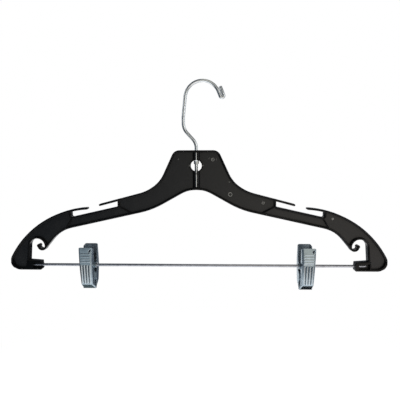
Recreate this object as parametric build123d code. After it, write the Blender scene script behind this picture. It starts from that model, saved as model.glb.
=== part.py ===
from build123d import *
import math
import os

# A moulded plastic clothes hanger with a swivel wire hook, a steel bar and two sliding spring clips.
# Everything is modelled about the hook's swivel axis (x = 0), the middle of the moulding (y = 0) and the
# bar's axis (z = 0), with the front towards -Y. At the end it all moves so that the origin is the point
# under the hook's crown that sits on a rail. Sizes are in millimetres and angles in degrees.

# Frame moulding
hanger_width = 431.8
frame_thickness = 7.5
neck_top_height = 131.75
shoulder_start_height = 86.1
arch_top_height = 87.7
rim_width = 2.5
web_thickness = 2.4
band_thickness = 2.4
rib_thickness = 1.7
bottom_drop = 5.5

# Shoulder and end round
end_radius = 11.0
shoulder_radius = 110.0
handover_angle = 28.7
shoulder_step = 1.57
recess_radius = 8.6
recess_inset = 32.0
recess_center_height = 22.9
recess_wall_lean = 1.6
underside_end_height = 18.44
underside_bend_inset = 19.0
underside_bend_height = 41.17
curl_radius = 3.0
curl_tip_radius = 1.9
curl_tip_angle = 4.0

# Strap notches in the shoulders
notch_inner_depth = 6.0
notch_outer_depth = 6.1
notch_corner_radius = 1.7

# Neck: round hole, its collar, and the boss that holds the wire
hole_diameter = 12.3
hole_center_drop = 17.05
collar_width = 1.3
boss_width = 8.4
boss_slot_width = 4.2
upper_slot_top_gap = 2.7
bridge_gap = 8.5
bridge_height = 0.9
lower_slot_length = 14.5

# Bar and its sockets
bar_diameter = 3.2
bar_end_inset = 22.9
socket_length = 36.0
socket_height = 10.7
socket_top_rise = 1.1
socket_block_length = 18.0
socket_low_corner_radius = 2.0
socket_high_corner_radius = 0.8
socket_clearance = 0.05
window_length = 12.5
window_height = 6.5
window_wall = 4.0
lead_in_length = 10.0

# Hook wire
wire_diameter = 3.6
wire_sides = 24
wire_clearance = 0.08
wire_end_rise = 2.3
crown_radius = 18.9
crown_offset = 6.9
crown_rise = 55.95
leg_offset = 14.15
leg_lean = 6.0
shank_top_rise = 7.95
leg_bottom_rise = 23.35
shank_bend_radius = 14.0
leg_bend_radius = 16.0
crown_end_angle = 22.0
tip_straight_length = 5.5
fold_radius = 1.9
fold_length = 10.0
ear_width = 5.6
ear_thickness = 2.0
ear_height = 3.0
ear_corner_radius = 0.9
ear_seat_gap = 0.3

# Clips: jaws of folded sheet on a hollow rivet round the bar
clip_distance = 125.5
sheet = 0.9
jaw_top_height = 23.0
jaw_face_depth = 20.0
jaw_lip_depth = 27.6
jaw_top_reach = 10.4
jaw_bar_reach = 11.5
jaw_face_reach = 9.7
rivet_level = 0.0
lip_gap = 0.3
jaw_top_half_width = 7.95
jaw_bar_half_width = 7.2
jaw_face_half_width = 6.65
jaw_lip_half_width = 7.5
jaw_corner_chamfer = 2.0
cheek_clearance = 0.25
rear_top_half_width = 8.1
ear_radius = 3.5
ear_neck = 2.3
cheek_top_reach = 6.8
cheek_waist_reach = 4.4
cheek_waist_height = 7.0
cheek_waist_depth = 4.8
cheek_low_depth = 9.0
cheek_foot_depth = 15.5
cheek_foot_reach = 1.0
cheek_overlap = 0.8

# Pressed ribs on the jaw faces
grip_rib_count = 4
grip_rib_pitch = 3.0
grip_rib_first_height = 15.8
grip_rib_half_length = 4.6
rib_width = 1.3
rib_height = 0.4
rib_sink = 0.2
flute_count = 4
flute_pitch = 3.2
flute_top_height = 3.6
flute_bottom_depth = 19.3
flute_taper_share = 0.92

# Rivet tube and torsion spring
tube_clearance = 0.08
tube_wall = 0.55
tube_fit = 0.08
tube_flare = 1.0
tube_flare_length = 0.8
tube_end_gap = 0.1
spring_wire = 1.0
spring_radius = 3.15
spring_pitch = 1.5
spring_turns = 4
spring_sides = 6
spring_leg_length = 15.0
spring_leg_angle = 28.5
spring_points_per_turn = 60

overrun = 20.0

# Sizes worked out from those above
half_width = hanger_width / 2
half_thickness = frame_thickness / 2
tube_bore_radius = bar_diameter / 2 + tube_clearance
tube_radius = tube_bore_radius + tube_wall
hole_center_height = neck_top_height - hole_center_drop
wire_end_height = arch_top_height + wire_end_rise
crown_height = neck_top_height + crown_rise
seat_height = crown_height + crown_radius - wire_diameter / 2
end_center = Vector(half_width - end_radius, end_radius - bottom_drop)
handover = Vector(math.cos(math.radians(handover_angle)), math.sin(math.radians(handover_angle)))
shoulder_center = end_center - handover * (shoulder_radius - end_radius)
shoulder_top = shoulder_center + Vector(0, shoulder_radius)
recess_center = Vector(half_width - recess_inset, recess_center_height)
curl_center = recess_center - Vector(recess_radius - curl_radius, 0)
socket_face = half_width - socket_length
socket_top = socket_height - bottom_drop

# Outline corners. Across they are shares of the half width. Up they are shares of the way from the
# shoulder's start to the neck's top for the neck, and from the bar to the shoulder's start for the rest.
# The third number is the share of the corner's shorter side that its rounding takes.
neck_corner_shares = (
    (0.1130, 1.0000, 0.235),
    (0.1871, 0.2496, 0.460),
    (0.2571, 0.0000, 0.510),
)
arch_corner_share = 0.0419
arch_rounding_share = 0.97
underside_bend_rounding_share = 0.470
underside_corner_shares = ((0.2307, 0.7532, 0.300),)
notch_end_shares = (0.4132, 0.6614)
mouth_edge_shares = (0.5063, 0.5776)
inner_rib_shares = ((0.4050, 0.7957), (0.3300, 0.6962))
outer_rib_shares = ((0.6600, 0.6350), (0.6930, 0.5050))

# Places along the shoulder that follow the shares
notch_inner_end, notch_outer_end = [share * half_width for share in notch_end_shares]
mouth_inner_edge, mouth_outer_edge = [share * half_width for share in mouth_edge_shares]


# A path of straight runs whose corners are rounded by a share of the shorter run beside them
def rounded_path(corners):
    points = [Vector(across, up) for across, up, rounding in corners]
    radii = []
    for before, corner, after, entry in zip(points, points[1:], points[2:], corners[1:]):
        turn = (corner - before).get_angle(after - corner)
        run = min((corner - before).length, (after - corner).length)
        radii.append(entry[2] * run / math.tan(math.radians(turn / 2)))
    return FilletPolyline(*points, radius=radii)


def scaled(shares, low, high):
    return [(across * half_width, low + up * (high - low), rounding) for across, up, rounding in shares]


# A bar of constant width between two points, with square ends
def stroke(start, end, width):
    run = end - start
    middle = (start + end) * 0.5
    turn = math.degrees(math.atan2(run.Y, run.X))
    return Pos(middle.X, middle.Y) * Rot(0, 0, turn) * Rectangle(run.length, width)


# The top line's height where the shoulder runs straight, down to a small step above the curved part
def shoulder_height(across):
    start = neck_corner_shares[-1][0] * half_width
    fall = shoulder_start_height - shoulder_top.Y - shoulder_step
    return shoulder_start_height - fall * (across - start) / (shoulder_top.X - start)


# Right half of the moulding without notches and recess
def envelope():
    top = [
        (0, neck_top_height, 0),
        *scaled(neck_corner_shares, shoulder_start_height, neck_top_height),
        (shoulder_top.X, shoulder_height(shoulder_top.X), 0),
    ]
    arm_end = recess_center.X - recess_radius
    under = [
        (arm_end, underside_end_height, 0),
        (arm_end - underside_bend_inset, underside_bend_height, underside_bend_rounding_share),
        *scaled(underside_corner_shares, 0, shoulder_start_height),
        (arch_corner_share * half_width, arch_top_height, arch_rounding_share),
        (0, arch_top_height, 0),
    ]
    socket_end = [
        (end_center.X, -bottom_drop, 0),
        (socket_face, -bottom_drop, 0),
        (socket_face, under[0][1], 0),
        under[0],
    ]
    with BuildLine() as outline:
        upper = rounded_path(top)
        shoulder = CenterArc(shoulder_center, shoulder_radius, 90, handover_angle - 90)
        Line(upper @ 1, shoulder @ 0)
        CenterArc(end_center, end_radius, handover_angle, -90 - handover_angle)
        Polyline(*[corner[:2] for corner in socket_end])
        lower = rounded_path(under)
        Line(lower @ 1, upper @ 0)
    return make_face(outline.edges())


# Lower side of the notches, which is the top of the arm between them
def notch_floor():
    inner = Vector(notch_inner_end, shoulder_height(notch_inner_end) - band_thickness - notch_inner_depth)
    reach = notch_outer_end - shoulder_center.X
    arc_height = shoulder_center.Y + math.sqrt((shoulder_radius - band_thickness) ** 2 - reach ** 2)
    outer = Vector(notch_outer_end, arc_height - notch_outer_depth)
    return inner, outer


# The whole step between the notches' closed ends, open upwards
def notch_step():
    inner, outer = notch_floor()
    corners = [
        (inner.X, neck_top_height + overrun),
        (inner.X, inner.Y),
        (outer.X, outer.Y),
        (outer.X, neck_top_height + overrun),
    ]
    face = make_face(Polyline(*corners, close=True).edges())
    low = face.vertices().group_by(Axis.Y)[:2]
    return fillet([vertex for group in low for vertex in group], notch_corner_radius)


# The two strap fingers over the notches, with rounded tips
def fingers():
    drop = band_thickness / 2
    inner_tip = Vector(mouth_inner_edge, shoulder_height(mouth_inner_edge) - drop)
    root = notch_inner_end - band_thickness
    inner_root = Vector(root, shoulder_height(root) - drop)
    inner = stroke(inner_root, inner_tip, band_thickness) + Pos(inner_tip.X, inner_tip.Y) * Circle(drop)
    middle_radius = shoulder_radius - drop
    outer_root = notch_outer_end + band_thickness
    tip_turn = math.degrees(math.asin((mouth_outer_edge - shoulder_center.X) / middle_radius))
    root_turn = math.degrees(math.asin((outer_root - shoulder_center.X) / middle_radius))
    middle = CenterArc(shoulder_center, middle_radius, 90 - root_turn, root_turn - tip_turn)
    tip = middle @ 1
    outer = trace(middle, band_thickness) + Pos(tip.X, tip.Y) * Circle(drop)
    return inner + outer


# Opening at the end of the arm: an arch, a leaning wall and the top of the socket
def recess():
    left = recess_center - Vector(recess_radius, 0)
    right = recess_center + Vector(recess_radius, 0)
    corner = Vector(right.X + recess_wall_lean, socket_top + socket_top_rise)
    with BuildLine() as outline:
        ThreePointArc(left, recess_center + Vector(0, recess_radius), right)
        Polyline(right, corner, (socket_face, socket_top), (left.X, socket_top), left)
    return make_face(outline.edges())


# Curled lip beside the recess
def curl():
    middle_radius = curl_radius + band_thickness / 2
    middle = CenterArc(curl_center, middle_radius, 180, 180 + curl_tip_angle)
    tip = middle @ 1
    return trace(middle, band_thickness) + Pos(tip.X, tip.Y) * Circle(curl_tip_radius)


# The socket's inner end with its two corners rounded
def rounded_socket(face):
    corners = face.vertices().filter_by_position(Axis.X, socket_face, socket_face).sort_by(Axis.Y)
    face = fillet(corners[0], socket_low_corner_radius)
    corners = face.vertices().filter_by_position(Axis.X, socket_face, socket_face).sort_by(Axis.Y)
    return fillet(corners[-1], socket_high_corner_radius)


def both_sides(face):
    return face + mirror(face, Plane.YZ)


def rib(shares):
    start, end = [Vector(across * half_width, up * shoulder_start_height) for across, up in shares]
    return stroke(start, end, rib_thickness)


# Moulding: full-depth rims and bands, with pockets in both faces down to a middle web
def build_frame():
    body = both_sides(rounded_socket(envelope() - notch_step() - recess()))
    outline = body + both_sides(fingers() + curl())
    frame = extrude(to_front(outline), half_thickness, both=True)
    socket_block = Rectangle(socket_block_length, 2 * socket_top)
    socket_block = Pos(socket_face + socket_block_length / 2, 0) * socket_block
    kept = both_sides(rib(inner_rib_shares) + rib(outer_rib_shares) + socket_block)
    kept += Pos(0, hole_center_height) * Circle(hole_diameter / 2 + collar_width)
    pockets = offset(body, -rim_width) - kept
    depth = half_thickness - web_thickness / 2
    for side in (-1, 1):
        floor = Pos(0, side * web_thickness / 2, 0) * to_front(pockets)
        frame -= extrude(floor, depth + overrun, dir=(0, side, 0))
    frame += wire_boss()
    frame -= neck_cuts()
    for side in (-1, 1):
        frame -= socket_cuts(side)
    return frame


def to_front(sketch):
    return Plane.XZ * sketch


def slab(center_x, center_z, width, height, front, back):
    place = Pos(center_x, (front + back) / 2, center_z)
    return place * Box(width, back - front, height)


def vertical_cylinder(radius, low, high):
    return Pos(0, 0, low) * Cylinder(radius, high - low, align=(Align.CENTER, Align.CENTER, Align.MIN))


# Round boss down the middle of the neck, as deep as the rims
def wire_boss():
    low, high = arch_top_height + rim_width / 2, neck_top_height - rim_width / 2
    boss = vertical_cylinder(boss_width / 2, low, high)
    middle = (arch_top_height + neck_top_height) / 2
    return boss & slab(0, middle, boss_width, neck_top_height, -half_thickness, half_thickness)


# Round hole, wire bore, and the slots in the boss's front that show the wire
def neck_cuts():
    hole = Pos(0, 0, hole_center_height) * Rot(90, 0, 0) * Cylinder(hole_diameter / 2, overrun)
    bore_radius = wire_diameter / 2 + wire_clearance
    bore = vertical_cylinder(bore_radius, wire_end_height - ear_seat_gap, neck_top_height + overrun)
    hole_bottom = hole_center_height - hole_diameter / 2
    bridge_top = hole_center_height - bridge_gap
    slots = []
    for low, high in (
        (hole_center_height, neck_top_height - upper_slot_top_gap),
        (bridge_top, hole_bottom + rim_width),
        (bridge_top - bridge_height - lower_slot_length, bridge_top - bridge_height),
    ):
        slots.append(slab(0, (low + high) / 2, boss_slot_width, high - low, -half_thickness - overrun, 0))
    return hole + bore + slots


# Bar bore with its window: closed at its inner end on the right, open at its inner end on the left
def socket_cuts(side):
    bar_end = half_width - bar_end_inset + socket_clearance
    bore_length = bar_end - socket_face + overrun
    bore = Rot(0, 90, 0) * Cylinder(bar_diameter / 2 + socket_clearance, bore_length)
    cuts = Pos(side * (bar_end - bore_length / 2), 0, 0) * bore
    if side > 0:
        start = socket_face + window_wall
        length = window_length
    else:
        start = socket_face - overrun
        length = lead_in_length + overrun
    window = slab(side * (start + length / 2), 0, length, window_height, -half_thickness - overrun, 0)
    return cuts + window


# Hook: shank, offset leg, crown and an end folded back on itself, with coined ears in the round hole
def build_hook():
    lean = math.radians(leg_lean)
    crown = Vector(crown_offset, crown_height)
    crown_start = crown + Vector(-math.cos(lean), math.sin(lean)) * crown_radius
    lean_start = Vector(-leg_offset, crown_start.Y - (crown_start.X + leg_offset) / math.tan(lean))
    end_turn = math.radians(crown_end_angle)
    along = Vector(math.sin(end_turn), -math.cos(end_turn))
    outward = Vector(math.cos(end_turn), math.sin(end_turn))
    tip = crown + outward * crown_radius + along * tip_straight_length
    corners = [
        (0, wire_end_height),
        (0, neck_top_height + shank_top_rise),
        (-leg_offset, neck_top_height + leg_bottom_rise),
        (lean_start.X, lean_start.Y),
        (crown_start.X, crown_start.Y),
    ]
    with BuildLine() as path:
        FilletPolyline(*corners, radius=(shank_bend_radius, leg_bend_radius, leg_bend_radius))
        CenterArc(crown, crown_radius, 180 - leg_lean, crown_end_angle + leg_lean - 180)
        Line(tip - along * tip_straight_length, tip)
        far = tip + outward * 2 * fold_radius
        ThreePointArc(tip, tip + outward * fold_radius + along * fold_radius, far)
        Line(far, far - along * fold_length)
    section = Pos(0, 0, wire_end_height) * RegularPolygon(wire_diameter / 2, wire_sides)
    hook = sweep(section, Plane.XZ * path.wires()[0])
    return hook - coining_cuts() + hook_ears()


# Top of the ears, just under the round hole's edge
def ear_top():
    edge = math.sqrt((hole_diameter / 2) ** 2 - (ear_width / 2) ** 2)
    return hole_center_height + edge - ear_seat_gap


def coining_cuts():
    middle = ear_top() - ear_height / 2
    cuts = []
    for side in (-1, 1):
        cuts.append(Pos(0, side * (ear_thickness + wire_diameter) / 2, middle) * Box(
            wire_diameter, wire_diameter, ear_height))
    return Part() + cuts


def hook_ears():
    plate = Pos(0, 0, ear_top() - ear_height / 2) * Box(ear_width, ear_thickness, ear_height)
    return fillet(plate.edges().filter_by(Axis.Y), ear_corner_radius)


def build_bar():
    return Rot(0, 90, 0) * Cylinder(bar_diameter / 2, 2 * (half_width - bar_end_inset))


# Bowed middle line of a jaw's face, seen from the side
def face_arc():
    top = Vector(-jaw_top_reach, jaw_top_height)
    low = Vector(-jaw_face_reach, -jaw_face_depth)
    return ThreePointArc(top, (-jaw_bar_reach, rivet_level), low)


# How far in front of the bar the outside of a jaw's face lies at a height
def face_outside(height):
    arc = face_arc()
    drop = height - arc.arc_center.Y
    return arc.arc_center.X - math.sqrt(arc.radius ** 2 - drop ** 2) - sheet / 2


# A jaw's outline from the front: half widths at the top, the bar, the foot of the face and the lip
def jaw_front(widths, inset):
    top, bar, foot, lip = [width - inset for width in widths]
    levels = [
        (top - jaw_corner_chamfer, jaw_top_height + sheet),
        (top, jaw_top_height - jaw_corner_chamfer),
        (bar, rivet_level),
        (foot, -jaw_face_depth),
        (lip, -jaw_lip_depth),
        (lip, -jaw_lip_depth - sheet),
    ]
    mirrored = [(-across, up) for across, up in reversed(levels)]
    return extrude(to_front(make_face(Polyline(*levels, *mirrored, close=True).edges())), overrun, both=True)


# Side cheek from the side: from the face back to its rim, with the ear that the rivet goes through
def cheek_side():
    rim = [
        (-lip_gap / 2 - sheet, -jaw_lip_depth + sheet),
        (-cheek_foot_reach, -jaw_face_depth),
        (cheek_overlap, -cheek_foot_depth),
        (cheek_overlap, -cheek_low_depth),
        (-cheek_waist_reach, -cheek_waist_depth),
        (-ear_neck, -ear_neck),
        (-ear_neck, ear_neck),
        (-cheek_waist_reach, cheek_waist_height),
        (-cheek_top_reach, jaw_top_height - jaw_corner_chamfer),
    ]
    with BuildLine() as closed:
        face = face_arc()
        Polyline(face @ 1, *rim, face @ 0)
    return make_face(closed.edges()) + Circle(ear_radius)


# Everything behind the sheet, seen from the side
def behind_sheet(lip):
    with BuildLine() as closed:
        face = face_arc()
        Polyline(face @ 1, lip, (overrun, lip.Y), (overrun, jaw_top_height + overrun),
                 (-jaw_top_reach, jaw_top_height + overrun), face @ 0)
    return make_face(closed.edges())


# A low ridge across the handle, with slanted sides
def grip_rib(height):
    base = face_outside(height) + rib_sink
    crest = base - rib_sink - rib_height
    corners = [
        (base, height - rib_width / 2),
        (crest, height - rib_width / 4),
        (crest, height + rib_width / 4),
        (base, height + rib_width / 2),
    ]
    face = make_face(Polyline(*corners, close=True).edges())
    return extrude(Plane.YZ * face, grip_rib_half_length, both=True)


# A flute that follows the bowed face and leans in towards the lip
def flute(across):
    arc = face_arc()
    radius = arc.radius + sheet / 2 + (rib_height - rib_sink) / 2
    high, low = [
        180 - math.degrees(math.asin((height - arc.arc_center.Y) / radius))
        for height in (flute_top_height, -flute_bottom_depth)
    ]
    ridge = trace(CenterArc(arc.arc_center, radius, high, low - high), rib_height + rib_sink)
    lean = math.degrees(math.atan(across * (1 - flute_taper_share) / (flute_bottom_depth + flute_top_height)))
    middle = (flute_top_height - flute_bottom_depth) / 2
    straight = extrude(Plane.YZ * ridge, rib_width / 2, both=True)
    return Pos(across, 0, middle) * Rot(0, lean, 0) * Pos(0, 0, -middle) * straight


# Raised ribs pressed into the face: grip ribs across the handle, and flutes down to the lip
def pressed_ribs():
    grips = [grip_rib(grip_rib_first_height - index * grip_rib_pitch) for index in range(grip_rib_count)]
    flutes = [flute((index - (flute_count - 1) / 2) * flute_pitch) for index in range(flute_count)]
    return grips + flutes


# A jaw: one folded sheet, cut from the front and from the side, and hollow behind its face
def build_jaw(widths):
    lip = Vector(-lip_gap / 2 - sheet / 2, -jaw_lip_depth)
    face = face_arc()
    band = trace(face, sheet) + trace(Line(face @ 1, lip), sheet)
    hollow = behind_sheet(lip) - band
    outer = extrude(Plane.YZ * (cheek_side() + band), overrun, both=True) & jaw_front(widths, 0)
    inner = extrude(Plane.YZ * hollow, overrun, both=True) & jaw_front(widths, sheet)
    hole = Rot(0, 90, 0) * Cylinder(tube_radius + tube_fit, overrun)
    return outer - inner + pressed_ribs() - hole


# Hollow rivet through both jaws' ears, with its two ends flared over them
def build_tube():
    shoulder = jaw_bar_half_width + cheek_clearance + sheet + tube_end_gap
    length = shoulder + tube_flare_length
    corners = [
        (tube_bore_radius, -length),
        (tube_radius + tube_flare, -length),
        (tube_radius + tube_flare, -length + tube_flare_length / 2),
        (tube_radius, -shoulder),
        (tube_radius, shoulder),
        (tube_radius + tube_flare, length - tube_flare_length / 2),
        (tube_radius + tube_flare, length),
        (tube_bore_radius, length),
    ]
    profile = make_face(Polyline(*corners, close=True).edges())
    return Rot(0, 90, 0) * revolve(Plane.XZ * profile, Axis.Z)


# A point of the coil's middle line and its direction, for an angle turned from the front leg
def coil_point(turned, total):
    angle = math.radians(180 + spring_leg_angle + turned)
    along = (turned - total / 2) / 360 * spring_pitch
    point = Vector(along, spring_radius * math.cos(angle), spring_radius * math.sin(angle))
    rise = spring_pitch / (2 * math.pi)
    tangent = Vector(rise, -spring_radius * math.sin(angle), spring_radius * math.cos(angle)).normalized()
    return point, tangent


# Two arcs that join two points and follow a direction at each
def biarc(start, start_way, end, end_way):
    gap = end - start
    both = start_way + end_way
    bend = 2 * (1 - start_way.dot(end_way))
    reach = (math.sqrt(gap.dot(both) ** 2 + bend * gap.dot(gap)) - gap.dot(both)) / bend
    first = start + start_way * reach
    last = end - end_way * reach
    middle = (first + last) * 0.5
    return TangentArc(start, middle, tangent=start_way), TangentArc(middle, end, tangent=last - first)


# Torsion spring: two legs behind the handles, joined by a coil round the rivet
def build_spring():
    total = 360 * spring_turns + 180 - 2 * spring_leg_angle
    steps = 2 * spring_turns + 1
    stations = [coil_point(total * index / steps, total) for index in range(steps + 1)]
    start, start_way = stations[0]
    end, end_way = stations[-1]
    edges = [Line(start - start_way * spring_leg_length, start)]
    for (here, way), (there, next_way) in zip(stations, stations[1:]):
        edges.extend(biarc(here, way, there, next_way))
    edges.append(Line(end, end + end_way * spring_leg_length))
    path = Wire([edge.edge() for edge in edges])
    print("spring: least gap to itself", round(spring_gap(path), 2))
    place = Plane(origin=start - start_way * spring_leg_length, z_dir=start_way)
    return sweep(place * RegularPolygon(spring_wire / 2, spring_sides), path)


# Least distance between parts of the wire half a turn or more apart, measured on points of its middle line
def spring_gap(path):
    count = spring_points_per_turn * (spring_turns + 1)
    points = [path @ (index / count) for index in range(count + 1)]
    apart = int(math.pi * spring_radius / (path.length / count))
    least = path.length
    for index, point in enumerate(points):
        for other in points[index + apart:]:
            least = min(least, (point - other).length)
    return least - spring_wire


# Clip pieces about the bar's axis; the rear jaw is the front jaw's twin with its cheeks set outside
def clip_pieces():
    front_widths = (jaw_top_half_width, jaw_bar_half_width, jaw_face_half_width, jaw_lip_half_width)
    step = sheet + cheek_clearance
    rear_widths = (
        rear_top_half_width,
        jaw_bar_half_width + step,
        jaw_face_half_width + step,
        jaw_lip_half_width,
    )
    return {
        "front_jaw": build_jaw(front_widths),
        "rear_jaw": mirror(build_jaw(rear_widths), Plane.XZ),
        "pivot_tube": build_tube(),
        "torsion_spring": build_spring(),
    }


def main():
    os.makedirs("parts", exist_ok=True)
    pieces = {"frame": build_frame(), "swivel_hook": build_hook(), "clip_bar": build_bar()}
    clip = clip_pieces()
    for side, place in (("left", -clip_distance), ("right", clip_distance)):
        for name, piece in clip.items():
            pieces[side + "_" + name] = Pos(place, 0, 0) * piece
    to_rail = Pos(-crown_offset, 0, -seat_height)
    for name, piece in pieces.items():
        export_step(to_rail * piece, "parts/" + name + ".step")


main()
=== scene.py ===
import bmesh
import bpy
import math
from mathutils import Matrix, Vector
from mathutils.bvhtree import BVHTree
from mathutils.geometry import intersect_line_line


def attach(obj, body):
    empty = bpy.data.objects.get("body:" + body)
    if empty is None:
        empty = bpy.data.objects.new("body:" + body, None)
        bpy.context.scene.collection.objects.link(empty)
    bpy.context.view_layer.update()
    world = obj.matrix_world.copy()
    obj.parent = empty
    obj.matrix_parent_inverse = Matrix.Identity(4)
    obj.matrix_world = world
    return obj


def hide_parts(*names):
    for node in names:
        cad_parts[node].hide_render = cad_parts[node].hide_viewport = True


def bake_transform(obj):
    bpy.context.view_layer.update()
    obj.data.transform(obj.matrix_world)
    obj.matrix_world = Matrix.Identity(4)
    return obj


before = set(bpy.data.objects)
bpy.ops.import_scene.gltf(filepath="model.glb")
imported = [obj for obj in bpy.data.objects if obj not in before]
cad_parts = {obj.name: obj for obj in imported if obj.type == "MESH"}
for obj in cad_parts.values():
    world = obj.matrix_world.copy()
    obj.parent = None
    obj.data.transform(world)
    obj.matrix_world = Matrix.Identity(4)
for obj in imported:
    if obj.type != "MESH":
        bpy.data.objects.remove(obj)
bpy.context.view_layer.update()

mm = 0.001

# The bar's axis and the hook's swivel axis, seen from the point where the rail carries the hook
swivelAxis = -6.9
barLevel = -204.8
clipPlaces = {"left": -125.5, "right": 125.5}


# A place given in mm: to the right of the hook's axis, behind it, and above the bar's axis
def place(across, depth, up):
    return Vector(((across + swivelAxis) * mm, depth * mm, (up + barLevel) * mm))


def linear(hexColour):
    shares = [int(hexColour[start:start + 2], 16) / 255 for start in (1, 3, 5)]
    return [s / 12.92 if s <= 0.04045 else ((s + 0.055) / 1.055) ** 2.4 for s in shares] + [1.0]


# One node with its settings and links. Inputs come by name or in their own order, and an input's value may be
# another node's output, or a node for its first output. A colour ramp gets stops: a place and a colour.
def addNode(tree, kind, inputs=(), stops=(), **settings):
    node = tree.nodes.new(kind)
    for name, value in settings.items():
        setattr(node, name, value)
    for key, value in inputs.items() if isinstance(inputs, dict) else enumerate(inputs):
        if isinstance(value, bpy.types.Node):
            value = value.outputs[0]
        if isinstance(value, bpy.types.NodeSocket):
            tree.links.new(value, node.inputs[key])
        else:
            node.inputs[key].default_value = value
    if stops:
        elements = node.color_ramp.elements
        while len(elements) < len(stops):
            elements.new(0.5)
        for element, (position, colour) in zip(elements, stops):
            element.position = position
            element.color = linear(colour)
    return node


def newMaterial(name, settings):
    material = bpy.data.materials.new(name)
    material.use_nodes = True
    tree = material.node_tree
    shader = tree.nodes["Principled BSDF"]
    for key, value in settings.items():
        shader.inputs[key].default_value = value
    return material, tree, shader


# Plastics and metals
noiseSpread = (0.3, 0.7)     # where most of a noise's values lie

webLook = {
    "colour": "#08080a",
    "dust": "#2c2d30",
    "roughness": (0.32, 0.42),
    "sheen": 0.42,
    "mottle": 9.0,        # mm between soft patches of the melt's flow
    "grain": 0.45,        # mm, fine texture left by the steel of the mould
    "grainHeight": 0.012,
    "scuff": 9.6,         # mm between scuffs
    "scuffTurn": (0.0, 0.5, 0.0),
    "scuffStretch": (1.0, 1.0, 9.0),
    "scuffStops": [(0.0, "#000000"), (0.6, "#000000"), (0.74, "#ffffff")],   # how much of it scuffs
    "speck": 1.8,         # mm between specks of dust
    "speckStops": [(0.0, "#ffffff"), (0.05, "#000000"), (1.0, "#000000")],   # and how large a speck is
    "faintness": 0.35,
    "partingWidth": 0.16,
    "partingHeight": 0.05,
}
# The rims come from the polished edge of the mould: smoother and with less haze than the webs. They are also
# painted darker, with less sheen and darker dust, as painted shade for the dark bands along their beads
rimPaintedShadeLook = dict(webLook, colour="#040405", dust="#1c1c1e", roughness=(0.16, 0.26), sheen=0.15,
               grainHeight=0.003)
# Pale grey: the rings at the ejector pins, and the dots and the two collar marks, which are painted glints
paleMarkLook = dict(webLook, colour="#8f8d86", dust="#a09e97", roughness=(0.3, 0.4))


# High-impact polystyrene, injection moulded: black, half glossy, with soft flow patches and fine scuffs
def mouldedPolystyrene(name, look):
    material, tree, shader = newMaterial(name, {"IOR": 1.59, "Specular IOR Level": look["sheen"]})
    spot = addNode(tree, "ShaderNodeTexCoord").outputs["Object"]
    flow = addNode(tree, "ShaderNodeTexNoise", {
        "Vector": spot, "Scale": 1 / (look["mottle"] * mm), "Detail": 4.0, "Roughness": 0.55})
    gloss = addNode(tree, "ShaderNodeMapRange", (flow, *noiseSpread, *look["roughness"]))
    tree.links.new(gloss.outputs[0], shader.inputs["Roughness"])

    stretch = addNode(tree, "ShaderNodeMapping", {
        "Vector": spot, "Rotation": look["scuffTurn"], "Scale": look["scuffStretch"]})
    scuff = addNode(tree, "ShaderNodeTexNoise", {
        "Vector": stretch, "Scale": 1 / (look["scuff"] * mm), "Detail": 6.0, "Roughness": 0.7})
    scuffs = addNode(tree, "ShaderNodeValToRGB", {"Fac": scuff}, stops=look["scuffStops"])
    specks = addNode(tree, "ShaderNodeTexVoronoi", {"Vector": spot, "Scale": 1 / (look["speck"] * mm)})
    dust = addNode(tree, "ShaderNodeValToRGB", {"Fac": specks.outputs["Distance"]}, stops=look["speckStops"])
    marked = addNode(tree, "ShaderNodeMath", (scuffs, dust), operation="MAXIMUM")
    faint = addNode(tree, "ShaderNodeMath", (marked, look["faintness"]), operation="MULTIPLY")
    colour = addNode(tree, "ShaderNodeMix", {
        "Factor": faint, 6: linear(look["colour"]), 7: linear(look["dust"])}, data_type="RGBA")
    tree.links.new(colour.outputs[2], shader.inputs["Base Color"])

    # the parting line runs round the edge in the middle of the thickness, where the mould's halves met
    apart = addNode(tree, "ShaderNodeSeparateXYZ", {"Vector": spot})
    off = addNode(tree, "ShaderNodeMath", {0: apart.outputs["Y"]}, operation="ABSOLUTE")
    seam = addNode(tree, "ShaderNodeMapRange", (off, 0.0, look["partingWidth"] * mm, 1.0, 0.0),
                   interpolation_type="SMOOTHSTEP")
    grain = addNode(tree, "ShaderNodeTexNoise", {
        "Vector": spot, "Scale": 1 / (look["grain"] * mm), "Detail": 3.0})
    fine = addNode(tree, "ShaderNodeBump", {
        "Height": grain, "Strength": 0.35, "Distance": look["grainHeight"] * mm})
    wave = addNode(tree, "ShaderNodeBump", {
        "Height": flow, "Strength": 0.5, "Distance": 0.08 * mm, "Normal": fine})
    line = addNode(tree, "ShaderNodeBump", {
        "Height": seam, "Strength": 0.8, "Distance": look["partingHeight"] * mm, "Normal": wave})
    tree.links.new(line.outputs[0], shader.inputs["Normal"])
    return material


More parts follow.
